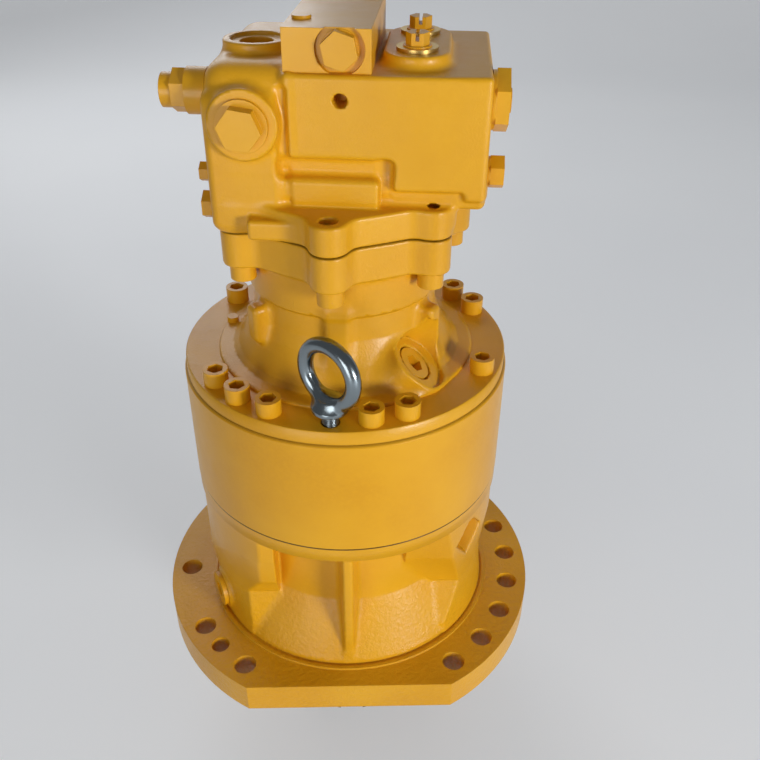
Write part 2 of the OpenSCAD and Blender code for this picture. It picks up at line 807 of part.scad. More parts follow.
// Planet gear with its needle rollers shown as a lining
module planet(a, arm, n, face, z, pin_r) polar(a, arm) difference() {
    gear(n, gear_m, face, z);
    bar(pin_r + free, face + 2, z - 1);
}
module second_planet(a) color(steel)
    planet(a, arm2, planet2_n, face2, gear2_z, pin2_r);
module second_planet_1() second_planet(0);
module second_planet_2() second_planet(90);
module second_planet_3() second_planet(180);
module second_planet_4() second_planet(270);
module first_planet(a) color(steel)
    planet(a, arm1, planet1_n, face1, gear1_z, pin1_r);
module first_planet_1() first_planet(0);
module first_planet_2() first_planet(120);
module first_planet_3() first_planet(240);

module second_sun() color(steel) {
    gear(sun2_n, gear_m, face2 - 2, gear2_z + 1, 180 / sun2_n);
    bar(neck2_r, plate1_z + plate1_t - gear2_z - face2 + 2,
        gear2_z + face2 - 2);
}

module first_carrier() color(steel) difference() {
    bar(carrier1_r, plate1_t, plate1_z);
    bar(neck2_r, plate1_t + 2, plate1_z - 1);
    for (a = [0:120:240]) polar(a, arm1, plate1_z - 1)
        bar(pin1_r, plate1_t + 2);
    for (a = [60:120:300]) polar(a, arm1, plate1_z - 1)
        bar(20, plate1_t + 2);
}

module first_pins() color(steel) for (a = [0:120:240]) polar(a, arm1) {
    bar(pin1_r, plate1_t + face1 + 6, plate1_z);
    bar(pin1_r + 5, 2.5, gear1_z - 3);
    bar(pin1_r + 5, 2, gear1_z + face1 + free);
}

module first_sun() color(steel) difference() {
    gear(sun1_n, gear_m, face1 + 1, gear1_z, 0);
    bar(shaft_d / 2 - 4, face1 + 4, gear1_z - 1);
}

module drive_shaft() color(steel) {
    bar(shaft_d / 2 - 4, case_z + 4 - gear1_z, gear1_z);
    bar(shaft_d / 2 + 2, 42, case_z + 3);
    bar(shaft_d / 2, head_z + 24 - case_z - 44, case_z + 44);
}

module shaft_seal() color(rubber)
    ring(motor_seal_r - seat, shaft_d / 2 + 2 + fit, motor_seal_w,
        motor_seal_z);

module shaft_bearings() color(steel) {
    ring(bearing_or, shaft_d / 2 + 2 + free, bearing_w, bearing_z);
    ring(24 - seat, shaft_d / 2 + free, 22, head_z + 2);
}

module swash_plate() color(steel) difference() {
    bar(block_r + 8, 60, floor_z);
    translate([0, 0, swash_z]) rotate([0, -swash_a, 0])
        bar(2 * block_r, 100);
    bar(shaft_d / 2 + 10, 80, floor_z - 1);
}

// Height of the slipper face under one piston
function swash_at(a) = swash_z + piston_r * cos(a) * tan(swash_a);

module pistons() color(steel) {
    for (i = [0:piston_n - 1]) let (a = i * 360 / piston_n) {
        polar(a, piston_r, swash_at(a) + slipper_h + 4)
            bar(piston_d / 2, piston_len);
        polar(a, piston_r, swash_at(a)) rotate([0, 0, -a])
            rotate([0, -swash_a, 0]) {
                bar(11, 3, free);
                bar(6, slipper_h, free);
            }
        polar(a, piston_r, swash_at(a) + slipper_h)
            sphere(r = 6.3);
    }
}

module cylinder_block() color(steel) difference() {
    union() {
        bar(block_r, block_top_z - block_z, block_z);
        for (i = [0:11]) polar(i * 30, block_r - 2, disc_z - 2)
            translate([0, -4, 0]) cube([5, 8, stack_t + disc_t + 2]);
    }
    bar(shaft_d / 2 + fit, block_top_z - block_z + 2, block_z - 1);
    for (i = [0:piston_n - 1]) polar(i * 360 / piston_n, piston_r) {
        bar(piston_d / 2 + fit, block_top_z - 10 - block_z, block_z - 1);
        bar(5, 20, block_top_z - 14);
    }
}

module friction_discs() color(dark) for (k = [0:disc_n - 1])
    difference() {
        ring(cavity_r - 5, block_r + seat, disc_t - 2 * seat,
            disc_z + (2 * k + 1) * disc_t + seat);
        for (i = [0:11]) polar(i * 30, block_r - 2, disc_z)
            translate([0, -4 - seat, 0])
                cube([5 + seat, 8 + 2 * seat, stack_t + disc_t]);
    }

module brake_separators() color(steel) for (k = [0:disc_n])
    ring(cavity_r - seat, block_r + 4, disc_t, disc_z + 2 * k * disc_t);

module brake_piston() color(steel) difference() {
    ring(brake_bore_r - free, block_r + 5, brake_h, brake_z);
    for (i = [0:11]) polar(i * 30 + 15, spring_r, brake_z + 8)
        bar(5.5, brake_h);
}

module brake_springs() color(steel) for (i = [0:11])
    polar(i * 30 + 15, spring_r, brake_z + 8 + seat)
        ring(5, 3.4, head_z - brake_z - 8 - 2 * seat);

gear_housing();
seal_cover();
seal_cover_bolts();
output_seal();
lower_bearing_cup();
upper_bearing_cup();
housing_plugs();
ring_gear();
motor_casing();
case_screws();
eyebolt();
bleed_plug();
case_port_plug();
swash_plate();
shaft_bearings();
shaft_seal();
brake_separators();
valve_plate();
port_head();
head_bolts();
valve_block();
valve_block_plug();
valve_block_pin();
front_relief_plug();
side_relief_cartridge();
check_plugs();
check_plug_washers();
top_port_plug();
end_plug_large();
end_plug_small();
side_plugs();
pinion_shaft();
second_carrier();
second_pins();
shaft_lock_plate();
lower_bearing_cone();
upper_bearing_cone();
lower_rollers();
upper_rollers();
second_planet_1();
second_planet_2();
second_planet_3();
second_planet_4();
first_carrier();
first_pins();
second_sun();
first_planet_1();
first_planet_2();
first_planet_3();
drive_shaft();
first_sun();
cylinder_block();
friction_discs();
pistons();
brake_piston();
brake_springs();
front_check_poppet();
back_check_poppet();
check_springs();
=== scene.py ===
"""Looks of a hydraulic swing motor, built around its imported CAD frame.

Lengths are in metres in the axes of the CAD frame. The castings, the thread
and the coils are worked out in millimetres and scaled once, when their meshes
are made.
"""
import json
import math

import bmesh
import bpy
import numpy as np
from mathutils import Matrix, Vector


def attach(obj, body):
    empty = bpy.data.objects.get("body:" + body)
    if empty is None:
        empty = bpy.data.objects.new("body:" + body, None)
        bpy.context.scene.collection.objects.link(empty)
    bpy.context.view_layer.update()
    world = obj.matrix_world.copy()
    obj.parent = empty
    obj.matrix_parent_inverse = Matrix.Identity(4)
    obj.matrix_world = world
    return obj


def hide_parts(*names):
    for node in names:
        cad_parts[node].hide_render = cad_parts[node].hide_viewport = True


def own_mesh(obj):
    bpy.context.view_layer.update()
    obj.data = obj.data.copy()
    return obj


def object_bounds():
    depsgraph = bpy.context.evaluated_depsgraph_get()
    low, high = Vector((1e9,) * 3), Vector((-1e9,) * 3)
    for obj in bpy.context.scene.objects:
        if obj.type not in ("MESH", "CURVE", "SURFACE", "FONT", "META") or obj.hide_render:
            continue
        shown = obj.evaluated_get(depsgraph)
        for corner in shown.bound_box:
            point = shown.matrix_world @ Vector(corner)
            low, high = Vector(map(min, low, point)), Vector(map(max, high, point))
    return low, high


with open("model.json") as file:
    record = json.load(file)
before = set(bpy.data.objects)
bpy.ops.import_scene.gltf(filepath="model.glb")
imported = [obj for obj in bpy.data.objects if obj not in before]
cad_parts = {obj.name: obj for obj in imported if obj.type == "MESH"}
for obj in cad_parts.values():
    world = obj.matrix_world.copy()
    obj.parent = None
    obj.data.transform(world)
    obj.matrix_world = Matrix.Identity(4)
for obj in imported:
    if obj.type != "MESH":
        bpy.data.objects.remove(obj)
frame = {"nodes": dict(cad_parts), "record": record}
cad_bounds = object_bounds()
nodes = frame["nodes"]

# A millimetre, and the gap below which points merge, both in metres.
MM = 0.001
MERGE = 1e-6

# ---------------------------------------------------------------- camera
# The photograph's viewpoint: turn, height and roll in radians, distance, step
# to the right and height of the target in metres, then the focal length and
# the picture's side in pixels, and the sensor's width in millimetres.
VIEW_TURN = -0.030
VIEW_HEIGHT = 0.593
VIEW_ROLL = 0.008
VIEW_DISTANCE = 0.9298
VIEW_SIDE = 0.0360
VIEW_TARGET = 0.3067
FOCAL_PIXELS = 857.8
PHOTO_SIZE = 760
SENSOR = 36.0


def place_camera():
    """Camera frame from turn, height and roll: it looks along minus `back`."""
    back = np.array([math.sin(VIEW_TURN) * math.cos(VIEW_HEIGHT),
                     -math.cos(VIEW_TURN) * math.cos(VIEW_HEIGHT),
                     math.sin(VIEW_HEIGHT)])
    right = np.array([math.cos(VIEW_TURN), math.sin(VIEW_TURN), 0.0])
    up = np.cross(back, right)
    side = math.cos(VIEW_ROLL) * right + math.sin(VIEW_ROLL) * up
    top = -math.sin(VIEW_ROLL) * right + math.cos(VIEW_ROLL) * up
    spot = (np.array([0.0, 0.0, VIEW_TARGET]) + VIEW_SIDE * right
            + VIEW_DISTANCE * back)
    lens = bpy.data.cameras.new("photo_camera")
    lens.sensor_width = SENSOR
    lens.lens = FOCAL_PIXELS / PHOTO_SIZE * SENSOR
    lens.clip_start = 0.01
    camera = bpy.data.objects.new("photo_camera", lens)
    matrix = np.eye(4)
    matrix[:3, 0], matrix[:3, 1] = side, top
    matrix[:3, 2], matrix[:3, 3] = back, spot
    camera.matrix_world = Matrix(matrix.tolist())
    bpy.context.scene.collection.objects.link(camera)
    bpy.context.scene.camera = camera


place_camera()


# --------------------------------------------------------- shader helpers
class Wire:
    """One socket's value; arithmetic on it adds Math nodes."""

    def __init__(self, finish, socket):
        self.finish, self.socket = finish, socket

    def math(self, operation, *others):
        """One Math node on this value and the others."""
        return self.finish.node("ShaderNodeMath", {"operation": operation},
                                {i: v for i, v in enumerate((self, *others))})

    def __add__(self, other):
        return self.math("ADD", other)

    def __mul__(self, other):
        return self.math("MULTIPLY", other)

    def __sub__(self, other):
        return self.math("SUBTRACT", other)

    def __rsub__(self, other):
        return self.math("MULTIPLY_ADD", -1.0, other)

    __radd__ = __add__

    def rise(self, low, high):
        """0 below `low`, 1 above `high`, with a smooth rise between."""
        return self.finish.node(
            "ShaderNodeMapRange", {"interpolation_type": "SMOOTHSTEP"},
            {"Value": self, "From Min": low, "From Max": high})


class Finish:
    """A material under construction, with its own Principled shader."""

    def __init__(self, name, **fixed):
        self.material = bpy.data.materials.new(name)
        self.material.use_nodes = True
        self.tree = self.material.node_tree
        self.shader = self.tree.nodes["Principled BSDF"]
        for socket, value in fixed.items():
            self.shader.inputs[socket.replace("_", " ")].default_value = value

    def node(self, kind, settings=None, inputs=None, output=0):
        """Adds a node, sets it, feeds its sockets and returns an output."""
        made = self.tree.nodes.new(kind)
        for key, value in (settings or {}).items():
            setattr(made, key, value)
        for key, value in (inputs or {}).items():
            self.feed(made.inputs[key], value)
        return Wire(self, made.outputs[output])

    def feed(self, socket, value):
        if isinstance(value, Wire):
            self.tree.links.new(value.socket, socket)
        else:
            socket.default_value = value

    def place(self):
        """Object coordinates, in metres."""
        return self.node("ShaderNodeTexCoord", output="Object")

    def noise(self, scale, detail=3.0, rough=0.5):
        """Noise around 0.5, `scale` periods to the metre."""
        return self.node("ShaderNodeTexNoise", None,
                         {"Vector": self.place(), "Scale": scale,
                          "Detail": detail, "Roughness": rough})

    def blend(self, share, low, high):
        """Colour from `low` to `high` by a share."""
        made = self.tree.nodes.new("ShaderNodeMix")
        made.data_type = "RGBA"
        self.feed(made.inputs[0], share)
        self.feed(made.inputs[6], low)
        self.feed(made.inputs[7], high)
        return Wire(self, made.outputs[2])

    def bump(self, height, depth, normal=None):
        """Normal of a height map that is `depth` metres deep, laid over
        another normal if one is given."""
        inputs = {"Height": height, "Distance": depth, "Strength": 1.0}
        if normal is not None:
            inputs["Normal"] = normal
        return self.node("ShaderNodeBump", None, inputs)

    def edge(self, radius):
        """Normal rounded over edges by a radius in metres."""
        return self.node("ShaderNodeBevel", {"samples": 6},
                         {"Radius": radius})

    def wear(self, **sockets):
        """Feeds the Principled shader's sockets."""
        for key, value in sockets.items():
            self.feed(self.shader.inputs[key.replace("_", " ")], value)
        return self.material


def colour(red, green, blue):
    """A linear colour from 0 to 1 screen values."""
    def linear(v):
        return v / 12.92 if v <= 0.04045 else ((v + 0.055) / 1.055) ** 2.4
    return (linear(red), linear(green), linear(blue), 1.0)


PAINT = colour(0.875, 0.635, 0.075)
PAINT_DEEP = colour(0.845, 0.60, 0.06)
PAINT_PALE = colour(0.89, 0.655, 0.10)
# Painted shadow colour for the gaps between parts at the joints.
JOINT_SHADOW_TONE = colour(0.17, 0.11, 0.03)

# Height and darkness of the painted shadow lines in the joint gaps between
# parts, and how far from a joint its line begins and ends to fade.
JOINT_SHADOWS = ((0.218, 0.85), (0.346, 0.35), (0.511, 0.55))
JOINT_SHADOW_FADE = (0.0007, 0.0015)

# The coarser grain on the housing's cone: the height at which it fades out,
# how far the fade reaches to either side, and the depth of the grain.
CONE_TOP, CONE_FADE, CONE_GRAIN = 0.107, 0.006, 0.0011


def enamel(name, grain, grain_depth, peel_depth, edge_radius):
    """Gloss enamel: slow colour drift, painted shadow lines along the joint gaps
    between parts, orange peel, and the sand grain of the casting below it,
    `grain` periods to the metre, coarser on the cone of the housing."""
    paint = Finish(name, Coat_Weight=0.12, Coat_Roughness=0.18,
                   Specular_IOR_Level=0.36)
    drift = paint.noise(9.0, 4.0)
    shade = paint.blend(drift.rise(0.3, 0.7), PAINT_DEEP, PAINT_PALE)
    specks = paint.noise(260.0, 2.0).rise(0.35, 0.75)
    shade = paint.blend(specks * 0.5, shade, PAINT)
    height = paint.node("ShaderNodeSeparateXYZ", None,
                        {"Vector": paint.place()}, 2)
    # Painted shade: a dark line at each joint height stands in for the shadow in the gap
    # between parts.
    for level, darkness in JOINT_SHADOWS:
        off = (height - level).math("ABSOLUTE")
        line = 1.0 - off.rise(*JOINT_SHADOW_FADE)
        shade = paint.blend(line * darkness, shade, JOINT_SHADOW_TONE)
    normal = paint.edge(edge_radius)
    normal = paint.bump(paint.noise(210.0, 2.0), peel_depth, normal)
    if grain_depth:
        rough = paint.noise(grain, 5.0, 0.62)
        patches = paint.noise(24.0, 3.0).rise(0.38, 0.62)
        normal = paint.bump(rough * (patches * 0.6 + 0.4), grain_depth,
                            normal)
        cone = 1.0 - height.rise(CONE_TOP - CONE_FADE, CONE_TOP + CONE_FADE)
        normal = paint.bump(paint.noise(200.0, 4.0, 0.6) * cone, CONE_GRAIN,
                            normal)
    gloss = paint.noise(55.0, 3.0) * 0.16 + 0.28
    return paint.wear(Base_Color=shade, Roughness=gloss, Normal=normal)


def metal(name, base, low, high, edge_radius, grain=700.0, depth=0.00002):
    """Bare metal with cloudy roughness from `low` to `high`."""
    bare = Finish(name, Metallic=1.0)
    cloud = bare.noise(60.0, 4.0)
    tone = bare.blend(cloud * 0.35, base, tuple(0.72 * c for c in base[:3])
                      + (1.0,))
    normal = bare.bump(bare.noise(grain, 3.0), depth, bare.edge(edge_radius))
    return bare.wear(Base_Color=tone, Roughness=cloud * (high - low) + low,
                     Normal=normal)


def rubber():
    """Matt black seal rubber with a dusty bloom."""
    skin = Finish("seal_rubber_skin")
    bloom = skin.noise(300.0, 4.0)
    tone = skin.blend(bloom, colour(0.10, 0.10, 0.105),
                      colour(0.19, 0.19, 0.19))
    return skin.wear(Base_Color=tone, Roughness=bloom * 0.2 + 0.6,
                     Normal=skin.bump(bloom, 0.00003))


FINISHES = {
    "painted_casting": enamel("cast_enamel", 520.0, 0.00035, 0.00012, 0.0015),
    "painted_machined": enamel("turned_enamel", 0, 0, 0.00010, 0.0010),
    "painted_fastener": enamel("screw_enamel", 0, 0, 0.00008, 0.0008),
    "bright_zinc": metal("zinc_plate", colour(0.55, 0.59, 0.61), 0.12, 0.32,
                         0.0010, 900.0, 0.00003),
    "machined_steel": metal("oiled_steel", colour(0.72, 0.73, 0.75), 0.22,
                            0.42, 0.0004),
    "hardened_steel": metal("dark_steel", colour(0.40, 0.40, 0.41), 0.30,
                            0.50, 0.0006),
    "washer_brass": metal("washer_plate", colour(0.84, 0.71, 0.42), 0.25,
                          0.40, 0.0004),
    "seal_rubber": rubber(),
}


def dress(piece, slot):
    """Gives a piece the finish of a material slot."""
    piece.data.materials.clear()
    piece.data.materials.append(FINISHES[slot])


for part in frame["record"]["subparts"]:
    dress(nodes[part["node"]], part["material_slot"])


# ------------------------------------------------------------------ meshes
def sheet_mesh(name, *grids):
    """Open sheets of quads over grids of points alike in size, smooth
    shaded."""
    rows, columns = grids[0].shape[:2]
    index = np.arange(rows * columns).reshape(rows, columns)
    quads = np.stack([index[:-1, :-1], index[1:, :-1], index[1:, 1:],
                      index[:-1, 1:]], -1).reshape(-1, 4)
    starts = index.size * np.arange(len(grids))[:, None, None]
    return quad_mesh(name, np.stack(grids).reshape(-1, 3),
                     (quads + starts).reshape(-1, 4))


def closed(made):
    """Merges the seams and poles of a mesh and turns its faces outward."""
    shape = bmesh.new()
    shape.from_mesh(made.data)
    bmesh.ops.remove_doubles(shape, verts=shape.verts, dist=MERGE)
    bmesh.ops.recalc_face_normals(shape, faces=shape.faces)
    shape.to_mesh(made.data)
    shape.free()
    return made


def quad_mesh(name, points, quads):
    """A smooth shaded mesh object of points in metres and quads."""
    mesh = bpy.data.meshes.new(name)
    mesh.vertices.add(len(points))
    mesh.vertices.foreach_set("co", np.asarray(points, np.float32).ravel())
    mesh.loops.add(quads.size)
    mesh.loops.foreach_set("vertex_index", quads.astype(np.int32).ravel())
    mesh.polygons.add(len(quads))
    mesh.polygons.foreach_set("loop_start",
                              np.arange(0, quads.size, 4, dtype=np.int32))
    mesh.polygons.foreach_set("use_smooth", np.ones(len(quads), bool))
    mesh.update(calc_edges=True)
    mesh.validate()
    made = bpy.data.objects.new(name, mesh)
    bpy.context.scene.collection.objects.link(made)
    return made


# ------------------------------------------- distance fields, millimetres
def join(first, second, fillet):
    """Union of two distance fields with a fillet where they meet.

    Where they differ by less than `fillet`, h is how far, from 0 to 1, and
    the lower one sinks by fillet * h * h / 4, which rounds the corner.
    """
    near = np.maximum(fillet - np.abs(first - second), 0.0) / fillet
    return np.minimum(first, second) - near * near * fillet / 4.0


def cut(body, tool, fillet):
    """Takes a tool's shape out of a body, with a rounded rim."""
    return -join(-body, tool, fillet)


def common(first, second, fillet):
    """What two fields share, with the edge between them rounded."""
    return -join(-first, -second, fillet)


def rounded(across, along, edge):
    """Distance to a corner of two walls, rounded by the edge radius."""
    out = np.hypot(np.maximum(across + edge, 0.0),
                   np.maximum(along + edge, 0.0))
    return out + np.minimum(np.maximum(across, along) + edge, 0.0) - edge


def outline_distance(u, v, corners):
    """Distance in a plane to a closed outline, below zero inside it: the
    nearest point of every side, and a crossing count for the sign."""
    nearest = np.full(u.shape, 1e12, u.dtype)
    inside = np.zeros(u.shape, bool)
    for (u0, v0), (u1, v1) in zip(corners, corners[1:] + corners[:1]):
        side_u, side_v = u1 - u0, v1 - v0
        off_u, off_v = u - u0, v - v0
        share = np.clip((off_u * side_u + off_v * side_v)
                        / (side_u ** 2 + side_v ** 2), 0.0, 1.0)
        nearest = np.minimum(nearest, (off_u - share * side_u) ** 2
                             + (off_v - share * side_v) ** 2)
        if side_v:
            crossing = (v < v0) != (v < v1)
            inside ^= crossing & (off_u < off_v * (side_u / side_v))
    return np.where(inside, -1.0, 1.0).astype(u.dtype) * np.sqrt(nearest)


class Spots:
    """Points in space. The methods named after shapes give their distance to
    one, and `turned` and `tipped` give them in another frame."""

    def __init__(self, x, y, z):
        self.x, self.y, self.z = x, y, z

    def turned(self, degrees):
        """The points as seen from a frame turned about the upright axis."""
        c, s = math.cos(math.radians(degrees)), math.sin(math.radians(degrees))
        return Spots(c * self.x + s * self.y, c * self.y - s * self.x, self.z)

    def block(self, low, high, edge):
        """Box between two corners with rounded edges."""
        reach = [np.abs(v - (a + b) / 2) - (b - a) / 2 + edge
                 for v, a, b in zip((self.x, self.y, self.z), low, high)]
        out = np.sqrt(sum(np.maximum(r, 0.0) ** 2 for r in reach))
        return out + np.minimum(np.maximum.reduce(reach), 0.0) - edge

    def split(self, point, axis):
        """How far the points lie along an axis through a point, and how far
        off it."""
        axis = np.asarray(axis) / np.linalg.norm(axis)
        dx, dy, dz = self.x - point[0], self.y - point[1], self.z - point[2]
        run = dx * axis[0] + dy * axis[1] + dz * axis[2]
        off = np.sqrt(np.maximum(dx * dx + dy * dy + dz * dz - run * run, 0))
        return run, off

    def rod(self, start, along, radius, length, edge):
        """Cylinder from a start point, with rounded rims."""
        run, off = self.split(start, along)
        return rounded(off - radius, np.abs(run - length / 2) - length / 2,
                       edge)

    def half(self, point, away):
        """Everything behind a plane through a point; `away` faces out."""
        away = np.asarray(away) / np.linalg.norm(away)
        return ((self.x - point[0]) * away[0] + (self.y - point[1]) * away[1]
                + (self.z - point[2]) * away[2])

    def tipped(self, origin, roll, tip):
        """The points as seen from a frame at `origin` that is rolled about
        x and then tipped about y, in degrees."""
        cr, sr = math.cos(math.radians(roll)), math.sin(math.radians(roll))
        ct, st = math.cos(math.radians(tip)), math.sin(math.radians(tip))
        dx, dy, dz = (self.x - origin[0], self.y - origin[1],
                      self.z - origin[2])
        return Spots(dx * ct - dz * st,
                     dx * st * sr + dy * cr + dz * ct * sr,
                     dx * st * cr - dy * sr + dz * ct * cr)

    def lathe(self, corners):
        """Body turned about the upright axis, by its (radius, z) outline."""
        return outline_distance(np.hypot(self.x, self.y), self.z, corners)

    def ring(self, centre, axis, middle, thickness):
        """Torus round an axis, by its middle radius and its thickness."""
        run, off = self.split(centre, axis)
        return np.hypot(off - middle, run) - thickness / 2


# Rounds in which a surface's points are moved onto it, the length over which
# the field's slope is measured, and the least that its square counts for.
ROUNDS, PROBE, FLATTEST = 4, 0.05, 0.2


def net(field, low, high, step):
    """Points, normals and quads of the surface where a field is zero.

    A cell of the grid that the surface crosses gets one point, the mean of
    the crossings on its edges, and each grid edge that changes sign gives a
    quad between the four cells round it. Newton steps along the field's
    slope then put the points on the surface.
    """
    low, high = np.array(low, float), np.array(high, float)
    count = np.ceil((high - low) / step).astype(int) + 1
    lines = [np.float32(low[i] + step * np.arange(count[i]))
             for i in range(3)]
    lattice = np.meshgrid(*lines, indexing="ij")
    value = field(Spots(*(axis.ravel() for axis in lattice))).reshape(count)
    solid = value < 0
    filled = sum(solid[a:count[0] - 1 + a, b:count[1] - 1 + b,
                       c:count[2] - 1 + c].astype(np.int8)
                 for a in (0, 1) for b in (0, 1) for c in (0, 1))
    cells = np.argwhere((filled > 0) & (filled < 8))
    total, hits = np.zeros(cells.shape), np.zeros(len(cells))
    for axis in range(3):
        unit = np.eye(3, dtype=int)[axis]
        others = np.eye(3, dtype=int)[[(axis + 1) % 3, (axis + 2) % 3]]
        for b in (0, 1):
            for c in (0, 1):
                start = cells + b * others[0] + c * others[1]
                first = value[tuple(start.T)]
                last = value[tuple((start + unit).T)]
                crossed = (first < 0) != (last < 0)
                share = first / np.where(crossed, first - last, 1.0)
                total += crossed[:, None] * (start + share[:, None] * unit)
                hits += crossed
    points = low + step * total / hits[:, None]
    number = np.full(count - 1, -1)
    number[tuple(cells.T)] = np.arange(len(cells))
    quads = []
    for axis in range(3):
        b, c = np.eye(3, dtype=int)[[(axis + 1) % 3, (axis + 2) % 3]]
        behind = np.take(solid, range(count[axis] - 1), axis)
        ahead = np.take(solid, range(1, count[axis]), axis)
        edges = np.argwhere(behind != ahead)
        square = np.stack([number[tuple((edges - o).T)]
                           for o in (b + c, c, 0 * b, b)], -1)
        inner = behind[tuple(edges.T)]
        quads.append(np.where(inner[:, None], square, square[:, ::-1]))
    for _ in range(ROUNDS):
        here = field(Spots(*points.T))
        slope = np.stack([(field(Spots(*(points + PROBE * unit).T)) - here)
                          / PROBE for unit in np.eye(3)], -1)
        steep = np.maximum((slope ** 2).sum(-1), FLATTEST)
        move = np.clip(here / steep, -0.5 * step, 0.5 * step)
        points -= move[:, None] * slope
    normals = slope / np.linalg.norm(slope, axis=-1, keepdims=True)
    return points, normals, np.concatenate(quads)


def casting(name, stands_for, field, low, high, step, turn=0.0):
    """A filleted casting on the housing body that stands for a CAD node.
    `turn` is the frame, in degrees, that its field is written in."""
    points, normals, quads = net(field, low, high, step)
    c, s = math.cos(math.radians(turn)), math.sin(math.radians(turn))
    spin = np.array([[c, s, 0], [-s, c, 0], [0, 0, 1]])
    made = quad_mesh(name, points @ spin * MM, quads)
    made.data.normals_split_custom_set_from_vertices(
        (normals @ spin).tolist())
    return fitted(made, stands_for)


def fitted(made, stands_for):
    """Puts a piece on the housing body in place of a CAD node."""
    slot = next(part["material_slot"] for part in frame["record"]["subparts"]
                if part["node"] == stands_for)
    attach(made, "housing")
    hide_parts(stands_for)
    dress(made, slot)
    return made


def machined(name, node, low, high):
    """The crisp machined part of a CAD node between two heights in
    millimetres: a merged copy, cut level and closed with flat caps."""
    shape = bmesh.new()
    shape.from_mesh(nodes[node].data)
    bmesh.ops.remove_doubles(shape, verts=shape.verts, dist=MERGE)
    for height, facing in ((low, -1.0), (high, 1.0)):
        if height is None:
            continue
        sliced = bmesh.ops.bisect_plane(
            shape, geom=shape.verts[:] + shape.edges[:] + shape.faces[:],
            dist=1e-7, plane_co=(0, 0, height * MM),
            plane_no=(0, 0, facing), clear_outer=True)["geom_cut"]
        rim = [item for item in sliced if isinstance(item, bmesh.types.BMEdge)]
        bmesh.ops.triangle_fill(shape, edges=rim, use_beauty=True,
                                use_dissolve=False)
    bmesh.ops.recalc_face_normals(shape, faces=shape.faces)
    mesh = bpy.data.meshes.new(name)
    shape.to_mesh(mesh)
    shape.free()
    made = bpy.data.objects.new(name, mesh)
    bpy.context.scene.collection.objects.link(made)
    return fitted(made, node)


# --------------------------------------------------- levels of the castings
# Heights and radii in millimetres, and angles in degrees.
HEAD_TURN = -6.0
DECK = 360.5
JOINT = 511.0
LEDGE = 538.0
CROWN = 648.0
LUGS = (-143, -90, -37, 16, 90, 164)
LUG_RING = 108.0
NECK = 94.0

# Places on the port head, in its own turned frame: its left face, the left
# port on top, the two check valves, and the main ports at the back.
HEAD_LEFT = -107
TOP_PORT = (-70, -12)
CHECK_X, CHECK_YS = 67, (-30, 34)
MAIN_PORTS = (-40, 45)

# Start, direction, radius and length of every bore in the head that shows or
# that a moving part runs in.
HEAD_BORES = (
    [((0, 0, 505), (0, 0, 1), 24, 31),
     ((*TOP_PORT, 636), (0, 0, 1), 14.1, 30),
     ((*TOP_PORT, 658), (0, 0, 1), 22, 10)]
    + [((CHECK_X, y, 596), (0, 0, 1), 12.1, 70) for y in CHECK_YS]
    + [((8, -90, 628), (0, 1, 0), 6, 32)]
    + [((x, 106, 593), (0, -1, 0), 12.5, 58) for x in MAIN_PORTS]
    + [((x + i * 13.1, 106, 593 + k * 26.2), (0, -1, 0), 5, 30)
       for x in MAIN_PORTS for i in (-1, 1) for k in (-1, 1)])


def lobed(at, low, high, edge):
    """Plate of the head joint: a disc that runs out into six bolt lugs."""
    plan = np.hypot(at.x, at.y) - 99.0
    chords = [((LUG_RING + 6) * math.cos(math.radians(a)),
               (LUG_RING + 6) * math.sin(math.radians(a))) for a in LUGS]
    plan = join(plan, outline_distance(at.x, at.y, chords), 6.0)
    for a in LUGS:
        seen = at.turned(a)
        arm = np.hypot(seen.x - np.clip(seen.x, 50.0, LUG_RING), seen.y) - 17.5
        plan = join(plan, arm, 10.0)
    middle, half = (low + high) / 2, (high - low) / 2
    return rounded(plan, np.abs(at.z - middle) - half, edge)


